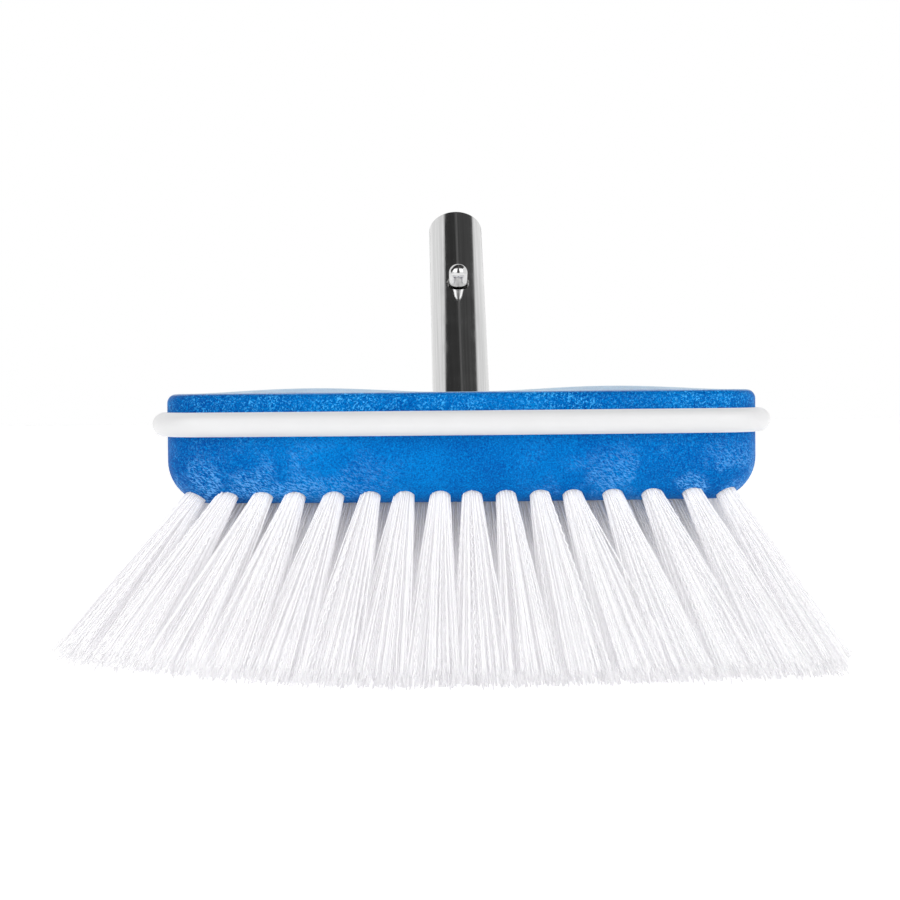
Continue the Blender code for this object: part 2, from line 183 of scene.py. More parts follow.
# Colours. Tones are the darkest and the palest one.
VINYL_TONES = ((0.52, 0.52, 0.525), (0.54, 0.54, 0.545))
BRISTLE_TONES = ((0.836, 0.828, 0.845), (0.896, 0.888, 0.905))
SPRING_TONES = ((0.42, 0.41, 0.39), (0.55, 0.54, 0.52))
PLASTIC_TONES = ((0.035, 0.035, 0.038), (0.06, 0.06, 0.064))
TUBE_TONES = (0.57, 0.67)
BUTTON_TONES = (0.58, 0.68)
FOAM_DARK = (0.0, 0.1, 0.4)
FOAM_BRIGHT = (0.0, 0.165, 0.54)
FOAM_LEFT_END = (0.0, 0.07, 0.32)
FOAM_PORES = (0.0, 0.055, 0.28)
FOAM_PEBBLES = (0.0, 0.24, 0.66)
FOAM_STROKES = (0.06, 0.46, 0.95)
# Pale streaks near the tufts: foam swirl, and partly a painted reflection of the bristles
FOAM_HAIR_AND_REFLECTION = (0.13, 0.42, 0.86)
FOAM_BLOOM = (0.8, 0.95, 1, 1)
BLACK = (0.0, 0.0, 0.0)
WHITE = (1.0, 1.0, 1.0)

# How far from the block's middle the foam's looks begin to change towards its ends
ENDS_START = 20 * MM

# Faint glows, light painted onto the bumper and the filaments to lift their shade. A filament's are for
# its root, middle and tip.
WHITE_LIGHT = (1, 1, 1, 1)
BUMPER_PAINTED_GLOW = 0.21
OPEN_PAINTED_GLOW = (0.18, 0.175, 0.05)
SHADED_PAINTED_GLOW = (0.04, 0.165, 0.09)

block_low, block_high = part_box("block")
BLOCK_CENTRE_Y = (block_low.y + block_high.y) / 2
UNDERSIDE = block_low.z
BLOCK_TOP = UNDERSIDE + BLOCK_HEIGHT
HALF_COLUMNS = (COLUMNS - 1) / 2
HANDLE_FOOT = Matrix.Translation((0, BLOCK_CENTRE_Y + HANDLE_FOOT_Y, BLOCK_TOP))
HANDLE = HANDLE_FOOT @ Matrix.Rotation(-HANDLE_LEAN, 4, "X")
BUTTON_Z = TUBE_VISIBLE - BUTTON_BELOW_TUBE_END
CROSSWAYS = Matrix.Rotation(math.pi / 2, 4, "X")
BUTTON_PLACE = HANDLE @ Matrix.Translation((0, 0, BUTTON_Z)) @ CROSSWAYS


# Materials. Textures use object coordinates, and every piece has its origin at the frame's origin.


class Finish:
    """A Principled material with short ways to add texture nodes."""

    def __init__(self, name, roughness=0.5, metallic=0.0, **sockets):
        self.material = bpy.data.materials.new(name)
        self.material.use_nodes = True
        self.tree = self.material.node_tree
        self.shader = self.tree.nodes["Principled BSDF"]
        self.shader.inputs["Roughness"].default_value = roughness
        self.shader.inputs["Metallic"].default_value = metallic
        for socket, value in sockets.items():
            self.shader.inputs[socket.replace("_", " ")].default_value = value
        self.place = self.tree.nodes.new("ShaderNodeTexCoord").outputs["Object"]

    def link(self, output, target):
        """Links an output to a node's input, or to a socket of the shader by its name."""
        if isinstance(target, str):
            target = self.shader.inputs[target]
        self.tree.links.new(output, target)

    def stretched(self, lengths, turn=(0, 0, 0)):
        """Coordinates that make a texture longer along turned axes, by a factor for each."""
        node = self.tree.nodes.new("ShaderNodeMapping")
        node.vector_type = "TEXTURE"
        node.inputs["Rotation"].default_value = turn
        node.inputs["Scale"].default_value = lengths
        self.link(self.place, node.inputs["Vector"])
        return node.outputs["Vector"]

    def noise(self, grain, detail=2.0, roughness=0.5, distortion=0.0, place=None):
        """Noise whose features are about `grain` metres across, from 0 to 1."""
        node = self.tree.nodes.new("ShaderNodeTexNoise")
        node.inputs["Scale"].default_value = 1 / grain
        node.inputs["Detail"].default_value = detail
        node.inputs["Roughness"].default_value = roughness
        node.inputs["Distortion"].default_value = distortion
        self.link(place or self.place, node.inputs["Vector"])
        return node.outputs["Fac"]

    def share(self, axis, low, high):
        """How far a point lies between two places along an axis, from 0 to 1."""
        split = self.tree.nodes.new("ShaderNodeSeparateXYZ")
        self.link(self.place, split.inputs[0])
        node = self.tree.nodes.new("ShaderNodeMapRange")
        node.inputs["From Min"].default_value = low
        node.inputs["From Max"].default_value = high
        self.link(split.outputs[axis], node.inputs["Value"])
        return node.outputs["Result"]

    def ramp(self, factor, *stops):
        """A colour ramp from (position, colour) stops, where a colour is RGB or one grey value."""
        node = self.tree.nodes.new("ShaderNodeValToRGB")
        elements = node.color_ramp.elements
        while len(elements) < len(stops):
            elements.new(1.0)
        for element, (position, colour) in zip(elements, stops):
            rgb = colour if isinstance(colour, tuple) else (colour,) * 3
            element.position = position
            element.color = (*rgb, 1)
        self.link(factor, node.inputs["Fac"])
        return node.outputs["Color"]

    def mix(self, factor, first, second, blend="MIX"):
        """Mixes two colours, each an output or a plain RGB tuple."""
        node = self.tree.nodes.new("ShaderNodeMix")
        node.data_type = "RGBA"
        node.blend_type = blend
        sockets = (node.inputs["Factor"], node.inputs[6], node.inputs[7])
        for socket, value in zip(sockets, (factor, first, second)):
            if isinstance(value, tuple):
                socket.default_value = (*value, 1)
            elif isinstance(value, (int, float)):
                socket.default_value = value
            else:
                self.link(value, socket)
        return node.outputs[2]

    def bump(self, height, distance, strength=1.0, below=None):
        """A bump of `distance` metres, on top of another bump if one is given."""
        node = self.tree.nodes.new("ShaderNodeBump")
        node.inputs["Strength"].default_value = strength
        node.inputs["Distance"].default_value = distance
        self.link(height, node.inputs["Height"])
        if below:
            self.link(below, node.inputs["Normal"])
        return node.outputs["Normal"]


def foam_ends(made):
    """How near a point is to the left end, and how near to either end, both from 0 to 1."""
    left = made.share("X", -ENDS_START, -BLOCK_LENGTH / 2)
    right = made.share("X", ENDS_START, BLOCK_LENGTH / 2)
    near_left, near_right = (made.ramp(end, (0.0, 0.0), (0.6, 1.0)) for end in (left, right))
    return left, made.mix(1.0, near_left, near_right, blend="ADD")


def foam_strokes(made, height, ends, patches):
    """Fine curled strokes, strongest along the upper edge and at the ends."""
    curls = made.noise(1.7 * MM, detail=1, distortion=1.2)
    strokes = made.ramp(curls, (0.43, 0.0), (0.5, 1.0), (0.57, 0.0))
    gaps = made.ramp(made.noise(1.1 * MM, detail=1), (0.44, 0.0), (0.54, 1.0))
    strokes = made.mix(gaps, BLACK, strokes)
    place = made.ramp(height, (0.6, 0.06), (0.74, 1.0))
    place = made.mix(made.ramp(ends, (0.4, 0.0), (1.0, 0.35)), place, WHITE)
    strength = made.ramp(patches, (0.4, 0.5), (0.6, 1.0))
    return made.mix(1.0, made.mix(place, BLACK, strokes), strength, blend="MULTIPLY")


def foam_hair_and_reflection(made, height, ends, patches):
    """Hair-like streaks in two directions, in patches near the tufts and the ends: foam swirl, and partly
    a painted reflection of the bristles.
    """
    place = made.ramp(height, (0.12, 0.85), (0.6, 0.0))
    place = made.mix(made.ramp(patches, (0.44, 1.0), (0.58, 0.1)), place, BLACK)
    place = made.mix(ends, BLACK, place)
    streaks = []
    for turn in (0.25, 0.8):
        grain_run = made.stretched((3, 1.5, 0.7), (0, turn, 0))
        hair = made.ramp(made.noise(0.75 * MM, detail=1, place=grain_run), (0.53, 0.0), (0.62, 1.0))
        streaks.append(made.mix(place, BLACK, hair))
    return streaks


def blue_foam():
    """Moulded structural foam: blue clouds with a pebbled skin, strokes and hair-like streaks, partly a
    painted reflection of the bristles.

    The left end is a little darker. The top face has a paler bloom than the sides.
    """
    made = Finish("foam_block", Sheen_Roughness=0.3, Sheen_Tint=FOAM_BLOOM)
    left, ends = foam_ends(made)
    height = made.share("Z", UNDERSIDE, BLOCK_TOP)
    patches = made.noise(16 * MM, detail=2)
    clouds = made.noise(40 * MM, detail=3, distortion=0.5)
    grain = made.noise(0.7 * MM, detail=2, roughness=0.6)
    base = made.ramp(clouds, (0.36, FOAM_DARK), (0.64, FOAM_BRIGHT))
    layers = [
        (made.ramp(left, (0.4, 0.0), (0.8, 0.8)), FOAM_LEFT_END),
        (made.ramp(grain, (0.3, 0.9), (0.5, 0.0)), FOAM_PORES),
        (made.ramp(grain, (0.5, 0.0), (0.68, 0.8)), FOAM_PEBBLES),
        (foam_strokes(made, height, ends, patches), FOAM_STROKES),
    ]
    layers += [(streaks, FOAM_HAIR_AND_REFLECTION) for streaks in foam_hair_and_reflection(made, height, ends, patches)]
    for share, colour in layers:
        base = made.mix(share, base, colour)
    made.link(base, "Base Color")
    top = made.share("Z", BLOCK_TOP - UPPER_ROUNDING / 5, BLOCK_TOP)
    made.link(made.ramp(top, (0.0, 0.0), (1.0, 1.0)), "Sheen Weight")
    made.link(made.ramp(top, (0.0, 0.03), (1.0, 0.45)), "Specular IOR Level")
    gloss = made.noise(6 * MM, detail=3)
    made.link(made.ramp(gloss, (0.35, 0.35), (0.65, 0.5)), "Roughness")
    skin = made.bump(made.noise(7 * MM, detail=1), 0.4 * MM, 0.2)
    made.link(made.bump(grain, 0.12 * MM, 0.6, below=skin), "Normal")
    return made.material


def white_vinyl():
    """Extruded soft vinyl: faintly uneven white with drawing lines too fine to see one by one.

    A faint painted glow evens out its shading and stands in for the light that scatters inside it.
    """
    made = Finish(
        "vinyl_bumper", roughness=0.36, Emission_Strength=BUMPER_PAINTED_GLOW, Emission_Color=WHITE_LIGHT
    )
    tone = made.noise(14 * MM, detail=4)
    made.link(made.ramp(tone, *zip((0.3, 0.7), VINYL_TONES)), "Base Color")
    made.link(made.ramp(made.noise(5 * MM, detail=4), (0.3, 0.3), (0.7, 0.44)), "Roughness")
    ripple = made.bump(made.noise(22 * MM, detail=1), 0.4 * MM, 0.3)
    lines = made.noise(0.5 * MM, detail=2, place=made.stretched((20, 20, 1)))
    made.link(made.bump(lines, 0.02 * MM, 0.35, below=ripple), "Normal")
    return made.material


def white_bristle(name, glow):
    """Drawn plastic filament, with slight differences between strands.

    A faint painted glow, given for the root, middle and tip, lifts the shade among the filaments and
    stands in for the light that such translucent filaments pass on. Low at the root, it paints the shade
    under the block.
    """
    made = Finish(name, roughness=0.45, Emission_Color=WHITE_LIGHT)
    root, middle, tip = glow
    # The painted glow is lowest at the root, which paints the shade under the block, and lower again at
    # the tip.
    drop = made.share("Z", UNDERSIDE, 0)
    strength = made.ramp(drop, (0.05, root), (0.4, middle), (0.75, middle), (1.0, tip))
    made.link(strength, "Emission Strength")
    strands = made.noise(1.6 * MM, detail=2, place=made.stretched((1, 1, 16)))
    made.link(made.ramp(strands, *zip((0.3, 0.7), BRISTLE_TONES)), "Base Color")
    made.link(made.ramp(made.noise(4 * MM), (0.3, 0.34), (0.7, 0.5)), "Roughness")
    return made.material


def stainless_tube():
    """Bright drawn stainless, with polishing lines along the tube and faint smears."""
    made = Finish("drawn_stainless", roughness=0.14, metallic=1.0)
    along = made.stretched((1, 1, 80), (-HANDLE_LEAN, 0, 0))
    lines = made.noise(0.9 * MM, detail=2, roughness=0.6, place=along)
    made.link(made.ramp(lines, *zip((0.36, 0.64), TUBE_TONES)), "Base Color")
    smears = made.noise(10 * MM, detail=4)
    made.link(made.ramp(smears, (0.3, 0.09), (0.7, 0.19)), "Roughness")
    made.link(made.bump(lines, 0.02 * MM, 0.12), "Normal")
    return made.material


def polished_steel():
    """Polished steel with faint wear."""
    made = Finish("polished_button", roughness=0.06, metallic=1.0)
    wear = made.noise(2.5 * MM, detail=4)
    made.link(made.ramp(wear, *zip((0.3, 0.7), BUTTON_TONES)), "Base Color")
    made.link(made.ramp(wear, (0.35, 0.04), (0.75, 0.11)), "Roughness")
    return made.material


def spring_steel():
    """Rolled strip, with fine lines along it."""
    made = Finish("rolled_spring_steel", roughness=0.32, metallic=1.0)
    rolled = made.noise(0.5 * MM, detail=3, place=made.stretched((1, 1, 50), (-HANDLE_LEAN, 0, 0)))
    made.link(made.ramp(rolled, *zip((0.25, 0.75), SPRING_TONES)), "Base Color")
    made.link(made.ramp(made.noise(3 * MM, detail=4), (0.3, 0.24), (0.7, 0.42)), "Roughness")
    made.link(made.bump(rolled, 0.02 * MM, 0.3), "Normal")
    return made.material


def dark_plastic():
    """Moulded plastic with a fine grain."""
    made = Finish("moulded_dark_plastic", roughness=0.5)
    grain = made.noise(0.9 * MM, detail=3)
    made.link(made.ramp(grain, *zip((0.3, 0.7), PLASTIC_TONES)), "Base Color")
    made.link(made.bump(grain, 0.06 * MM, 0.4), "Normal")
    return made.material


# Mesh helpers


def show(name, mesh, material, body, slot, *nodes):
    """Puts a mesh in the scene as a piece that rides on a body and stands for CAD nodes."""
    piece = bpy.data.objects.new(name, mesh)
    bpy.context.scene.collection.objects.link(piece)
    mesh.materials.clear()
    mesh.materials.append(material)
    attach(piece, body)
    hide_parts(*nodes)
    return piece


def mesh_of(name, shape, place=None):
    """A mesh from a bmesh, moved into place, smooth where its faces meet gently."""
    bmesh.ops.recalc_face_normals(shape, faces=shape.faces)
    mesh = bpy.data.meshes.new(name)
    shape.to_mesh(mesh)
    shape.free()
    if place:
        mesh.transform(place)
    mesh.shade_smooth()
    mesh.set_sharp_from_angle(angle=SMOOTH_BELOW)
    return mesh


def add_loft(shape, rings, closed=False):
    """Joins rings of equal point counts into a skin, capped at both ends or closed into a loop."""
    loops = [[shape.verts.new(point) for point in ring] for ring in rings]
    pairs = list(zip(loops, loops[1:]))
    if closed:
        pairs.append((loops[-1], loops[0]))
    else:
        shape.faces.new(loops[0])
        shape.faces.new(loops[-1])
    for near, far in pairs:
        for here, there in zip(range(-1, len(near)), range(len(near))):
            shape.faces.new((near[here], near[there], far[there], far[here]))
    return loops


def cap_with_strips(shape, loop):
    """Closes a loop that isn't flat: its one face gives way to strips between mirrored points."""
    shape.faces.remove(shape.faces.get(loop))
    last = len(loop) - 1
    for here in range(len(loop) // 2 - 1):
        shape.faces.new((loop[here], loop[here + 1], loop[last - here - 1], loop[last - here]))


def add_turned(shape, profile, sides, closed=False):
    """A solid of revolution about Z from (radius, height) points. Points on the axis become poles."""
    rings = []
    for radius, height in profile:
        if radius == 0:
            rings.append([shape.verts.new((0, 0, height))])
        else:
            turns = [FULL_TURN * side / sides for side in range(sides)]
            rings.append(
                [shape.verts.new((radius * math.cos(a), radius * math.sin(a), height)) for a in turns]
            )
    pairs = list(zip(rings, rings[1:]))
    if closed:
        pairs.append((rings[-1], rings[0]))
    for near, far in pairs:
        for side in range(sides):
            after = (side + 1) % sides
            corners = [near[side % len(near)], near[after % len(near)]]
            corners += [far[after % len(far)], far[side % len(far)]]
            shape.faces.new(list(dict.fromkeys(corners)))


def turned_mesh(name, profile, sides, place, closed=False):
    shape = bmesh.new()
    add_turned(shape, profile, sides, closed)
    return mesh_of(name, shape, place)


def cut(mesh, *cutters):
    """The mesh with closed cutter meshes taken away, by exact Booleans."""
    target = bpy.data.objects.new("cut_target", mesh)
    bpy.context.scene.collection.objects.link(target)
    helpers = [target]
    for cutter in cutters:
        helper = bpy.data.objects.new("cutter", cutter)
        bpy.context.scene.collection.objects.link(helper)
        helpers.append(helper)
        modifier = target.modifiers.new("cut", "BOOLEAN")
        modifier.operation = "DIFFERENCE"
        modifier.solver = "EXACT"
        modifier.object = helper
    bpy.context.view_layer.update()
    evaluated = target.evaluated_get(bpy.context.evaluated_depsgraph_get())
    result = bpy.data.meshes.new_from_object(evaluated)
    for helper in helpers:
        bpy.data.objects.remove(helper)
    result.shade_smooth()
    result.set_sharp_from_angle(angle=SMOOTH_BELOW)
    return result


def arc(centre, radius, start, end, steps):
    """Points (across, up) along an arc, both ends included."""
    angles = [start + (end - start) * step / steps for step in range(steps + 1)]
    return [(centre[0] + radius * math.cos(a), centre[1] + radius * math.sin(a)) for a in angles]


# Plan outline and the places of the tufts, as in the CAD model

CORNER_X = BLOCK_LENGTH / 2 - CORNER_RADIUS
SIDE_CENTRE = SIDE_RADIUS - BLOCK_DEPTH / 2
CORNER_Y = math.sqrt((SIDE_RADIUS - CORNER_RADIUS) ** 2 - CORNER_X**2) - SIDE_CENTRE
CORNER_LEAN = math.asin(CORNER_X / (SIDE_RADIUS - CORNER_RADIUS))


def plan_outline(offset, height):
    """The block's outline at a height, offset outwards along its normal."""
    right = math.pi / 2 - CORNER_LEAN
    left = math.pi / 2 + CORNER_LEAN
    corner = CORNER_RADIUS + offset
    side = SIDE_RADIUS + offset
    back = (
        arc((CORNER_X, CORNER_Y), corner, 0, right, CORNER_STEPS)
        + arc((0, -SIDE_CENTRE), side, right, left, SIDE_STEPS)[1:-1]
        + arc((-CORNER_X, CORNER_Y), corner, left, math.pi, CORNER_STEPS)
    )
    outline = back + [(-x, -y) for x, y in back]
    return [Vector((x, y + BLOCK_CENTRE_Y, height)) for x, y in outline]


def row_edge(x):
    """How far out the edge row of tufts stands at a column: a fixed inset from the outline."""
    past_corner = abs(x) - CORNER_X
    corner = CORNER_RADIUS - EDGE_INSET
    if past_corner > corner * math.sin(CORNER_LEAN):
        return CORNER_Y + math.sqrt(corner**2 - past_corner**2)
    return math.sqrt((SIDE_RADIUS - EDGE_INSET) ** 2 - x**2) - SIDE_CENTRE


def rounding_rise(inset):
    """How far the rounded lower edge stands above the block's flat underside."""
    short = max(0, LOWER_ROUNDING - inset)
    return LOWER_ROUNDING - math.sqrt(LOWER_ROUNDING**2 - short**2)


def column_x(column):
    """Where a column of holes stands. A staggered one is midway between its neighbours."""
    place = column + HALF_COLUMNS
    left, right = COLUMN_PLACES_MM[math.floor(place)], COLUMN_PLACES_MM[math.ceil(place)]
    return (left + right) / 2 * MM


def tuft_root(column, row):
    x = column_x(column)
    inset = EDGE_INSET if abs(row) == 2 else BLOCK_LENGTH / 2 - abs(x)
    return Vector((x, BLOCK_CENTRE_Y + row / 2 * row_edge(x), UNDERSIDE + rounding_rise(inset)))


def row_depth(column):
    """How far apart the rows stand at the cut ends."""
    return (row_edge(column_x(column)) + SIDEWAYS_REACH) / 2


def cut_height(x, row):
    """How high the cut ends stand at a distance along the brush and a place among the rows."""
    rise = np.where(x < 0, LEFT_TIP_RISE, RIGHT_TIP_RISE)
    past_inner_rows = np.maximum(0, np.abs(row) - 1)
    return rise * (x / (HALF_COLUMNS * TIP_PITCH)) ** 2 + EDGE_ROW_TIP_RISE * past_inner_rows**2


def tuft_tip(column, row):
    """The middle of the tuft's cut end."""
    x = column * TIP_PITCH
    return Vector((x, BLOCK_CENTRE_Y + row * row_depth(column), cut_height(x, row)))


# Block and bumper


def crown(x, y):
    """The two gentle swells of the block's top."""
    along = 1 - ((abs(x) - CROWN_CENTRE) / CROWN_REACH) ** 2
    across = 1 - ((y - BLOCK_CENTRE_Y) / (BLOCK_DEPTH / 2)) ** 2
    return CROWN_RISE * max(0, along) ** 2 * max(0, across) ** 2


def block_rings():
    low = arc((-LOWER_ROUNDING, LOWER_ROUNDING), LOWER_ROUNDING, -math.pi / 2, 0, LOWER_ROUNDING_STEPS)
    groove_low = BLOCK_HEIGHT - BUMPER_BELOW_TOP - GROOVE_HEIGHT / 2
    groove_high = groove_low + GROOVE_HEIGHT
    groove = [(0, groove_low), (-GROOVE_DEPTH, groove_low)]
    groove += [(-GROOVE_DEPTH, groove_high), (0, groove_high)]
    high_centre = (-UPPER_ROUNDING, BLOCK_HEIGHT - UPPER_ROUNDING)
    high = arc(high_centre, UPPER_ROUNDING, 0, math.pi / 2, UPPER_ROUNDING_STEPS)
    rings = [plan_outline(offset, UNDERSIDE + height) for offset, height in low + groove + high]
    spine_end = (BLOCK_LENGTH - BLOCK_DEPTH) / 2
    rim = rings[-1]
    for step in range(1, TOP_RINGS):
        ring = []
        for point in rim:
            spine_x = max(-spine_end, min(spine_end, point.x))
            inner = point.lerp(Vector((spine_x, BLOCK_CENTRE_Y, point.z)), step / TOP_RINGS)
            ring.append(inner + Vector((0, 0, crown(inner.x, inner.y))))
        rings.append(ring)
    return rings


def hole_cutter():
    """One mesh with a cylinder for each tuft's hole."""
    holes = bmesh.new()
    for column, row in tuft_places():
        root = tuft_root(column, row)
        axis = (tuft_tip(column, row) - root).normalized()
        turn = Vector((0, 0, -1)).rotation_difference(axis).to_matrix().to_4x4()
        radius = TUFT_RADIUS + HOLE_CLEARANCE
        single = bmesh.new()
        profile = [(0, HOLE_DEPTH), (radius, HOLE_DEPTH), (radius, -HOLE_OVERRUN), (0, -HOLE_OVERRUN)]
        add_turned(single, profile, HOLE_SIDES)
        single.transform(Matrix.Translation(root) @ turn)
        part = bpy.data.meshes.new("hole")
        single.to_mesh(part)
        single.free()
        holes.from_mesh(part)
        bpy.data.meshes.remove(part)
    return mesh_of("tuft_holes", holes)


def build_block(material):
    shape = bmesh.new()
    cap_with_strips(shape, add_loft(shape, block_rings())[-1])
    block = mesh_of("foam_block", shape)
    radius = TUBE_RADIUS + HOLE_CLEARANCE
    end = -TUBE_INSERTION - HOLE_CLEARANCE
    profile = [(0, 2 * radius), (radius, 2 * radius), (radius, end), (0, end)]
    socket = turned_mesh("socket", profile, TUBE_SIDES, HANDLE)
    radius = PIN_RADIUS + HOLE_CLEARANCE
    half = PIN_HALF_LENGTH + HOLE_CLEARANCE
    pin_place = HANDLE @ Matrix.Translation((0, 0, PIN_ABOVE_TUBE_FOOT - TUBE_INSERTION))
    pin_place = pin_place @ Matrix.Rotation(math.pi / 2, 4, "Y")
    profile = [(0, half), (radius, half), (radius, -half), (0, -half)]
    pin = turned_mesh("pin_bore", profile, HOLE_SIDES, pin_place)
    mesh = cut(block, socket, pin, hole_cutter())
    piece = show("foam_block", mesh, material, BRUSH, "blue_foam", "block")
    piece.visible_glossy = False


def build_bumper(material):
    middle = BLOCK_TOP - BUMPER_BELOW_TOP
    half = BUMPER_HEIGHT / 2
    tongue_half = GROOVE_HEIGHT / 2 - HOLE_CLEARANCE
    tongue_end = HOLE_CLEARANCE - GROOVE_DEPTH
    nose = [
        (NOSE_FLAT + (BUMPER_REACH - NOSE_FLAT) * across, half * up)
        for across, up in arc((0, 0), 1, -math.pi / 2, math.pi / 2, NOSE_STEPS)
    ]
    profile = [(tongue_end, -tongue_half), (BUMPER_GAP, -tongue_half), (BUMPER_GAP, -half)]
    profile += nose
    profile += [(BUMPER_GAP, half), (BUMPER_GAP, tongue_half), (tongue_end, tongue_half)]
    shape = bmesh.new()
    add_loft(shape, [plan_outline(offset, middle + height) for offset, height in profile], closed=True)
    show("vinyl_bumper", mesh_of("vinyl_bumper", shape), material, BRUSH, "white_vinyl", "bumper")


# Handle


def build_tube(material):
    top, foot = TUBE_VISIBLE, -TUBE_INSERTION
    bore = TUBE_RADIUS - TUBE_WALL
    edge_steps = 4
    outer_edge = arc((TUBE_RADIUS - TUBE_EDGE, top - TUBE_EDGE), TUBE_EDGE, math.pi / 2, 0, edge_steps)
    inner_edge = arc((bore + TUBE_EDGE, top - TUBE_EDGE), TUBE_EDGE, math.pi, math.pi / 2, edge_steps)
    profile = inner_edge + outer_edge + [(TUBE_RADIUS, foot), (bore, foot)]
    tube = turned_mesh("handle_tube", profile, TUBE_SIDES, HANDLE, closed=True)
    radius = BUTTON_HOLE_RADIUS
    reach = 2 * TUBE_RADIUS
    hole = turned_mesh(
        "button_hole", [(0, reach), (radius, reach), (radius, 0), (0, 0)], BUTTON_SIDES, BUTTON_PLACE
    )
    show("steel_tube", cut(tube, hole), material, BRUSH, "stainless", "handle_tube")


def build_button(material):
    strip_top = LEG_OFFSET + STRIP_THICKNESS / 2
    tip = TUBE_RADIUS + BUTTON_PROTRUSION
    flat = BUTTON_RADIUS - BUTTON_DOME
    dome_steps = 16
    dome = arc((flat, tip - BUTTON_DOME), BUTTON_DOME, math.pi / 2, 0, dome_steps)
    head_top = strip_top - STRIP_THICKNESS - HOLE_CLEARANCE
    head_bottom = head_top - RIVET_HEAD_THICKNESS
    base = strip_top + HOLE_CLEARANCE
    profile = [(0, tip)] + dome
    profile += [(BUTTON_RADIUS, base), (SHANK_RADIUS, base), (SHANK_RADIUS, head_top)]
    profile += [(RIVET_HEAD_RADIUS, head_top), (RIVET_HEAD_RADIUS, head_bottom), (0, head_bottom)]
    button = turned_mesh("snap_button", profile, BUTTON_SIDES, BUTTON_PLACE)
    show("domed_button", button, material, BUTTON, "polished_steel", "snap_button")


def along_line(start, end, steps):
    """Points from start to end, with the end left out."""
    return [
        tuple(a + (b - a) * step / steps for a, b in zip(start, end)) for step in range(steps)
    ]


def build_spring_clip(material):
    """A bent strip with a hole for the button's shank. It is built in the handle's frame."""
    bend_z = BUTTON_Z - CLIP_LENGTH
    leg_top = BUTTON_Z + CLIP_PAST_BUTTON
    leg_foot = BUTTON_Z - CLIP_PAST_BUTTON
    near_leg = along_line((LEG_OFFSET, leg_top), (LEG_OFFSET, leg_foot), CLIP_LEG_STEPS)
    near_leg += along_line((LEG_OFFSET, leg_foot), (CLIP_BEND_RADIUS, bend_z), CLIP_LEG_STEPS)
    bend = arc((0, bend_z), CLIP_BEND_RADIUS, 0, -math.pi, CLIP_BEND_STEPS)
    path = near_leg + bend + [(-out, height) for out, height in reversed(near_leg)]
    points = [Vector((0, -out, height)) for out, height in path]
    shape = bmesh.new()
    rings = []
    for index, point in enumerate(points):
        before = points[max(0, index - 1)]
        after = points[min(len(points) - 1, index + 1)]
        side = Vector((1, 0, 0))
        normal = (after - before).cross(side).normalized()
        corners = [(-1, -1), (1, -1), (1, 1), (-1, 1)]
        half_width, half_thickness = STRIP_WIDTH / 2, STRIP_THICKNESS / 2
        rings.append([point + side * a * half_width + normal * b * half_thickness for a, b in corners])
    add_loft(shape, rings)
    strip = mesh_of("spring_strip", shape, HANDLE)
    radius = SHANK_RADIUS + HOLE_CLEARANCE
    profile = [(0, TUBE_RADIUS), (radius, TUBE_RADIUS), (radius, 0), (0, 0)]
    mesh = cut(strip, turned_mesh("shank_hole", profile, HOLE_SIDES, BUTTON_PLACE))
    mesh.materials.clear()
    mesh.materials.append(material)
    clip = bpy.data.objects.new("spring_strip", mesh)
    bpy.context.scene.collection.objects.link(clip)
    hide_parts("spring_clip")
    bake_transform(clip)


# Filaments


def filament_ends(random, column, row, shares):
    """Where the filaments of a tuft are cut off, from their places in the round bundle.

    The cut ends gather into a few locks, with slits between them.
    """
    count = len(shares)
    locks = bundle_places(random, LOCKS)
    nearest = np.argmin(np.linalg.norm(shares[:, None] - locks[None], axis=2), axis=1)
    shares = shares + (locks[nearest] - shares) * LOCK_PULL
    largest = np.max(np.abs(shares), axis=1, keepdims=True)
    squared = shares / np.maximum(largest, SMALLEST) * np.linalg.norm(shares, axis=1, keepdims=True)
    aside, forth = ((squared + shares) / 2).T * FOOTPRINT
    if abs(column) == HALF_COLUMNS:
        aside = np.where(aside * column > 0, aside * OUTWARD_SHARE, aside)
    row_reach = END_ROW_REACH if row in END_COLUMN_ROWS else 1
    stray = np.where(random.uniform(0, 1, count) < STRAY_SHARE, STRAY_REACH, SHAKEN_ENDS)
    x = (column + aside) * TIP_PITCH + random.normal(0, 1, count) * stray
    rows = row + forth * row_reach + random.normal(0, 1, count) * stray / row_depth(column)
    y = BLOCK_CENTRE_Y + rows * row_depth(column)
    z = cut_height(x, rows) + random.normal(0, RAGGED, count)
    low = FLOOR_GAP + random.uniform(0, 2 * RAGGED, count)
    return np.stack([x + TIP_LEAN, y, np.maximum(z, low)], axis=1)


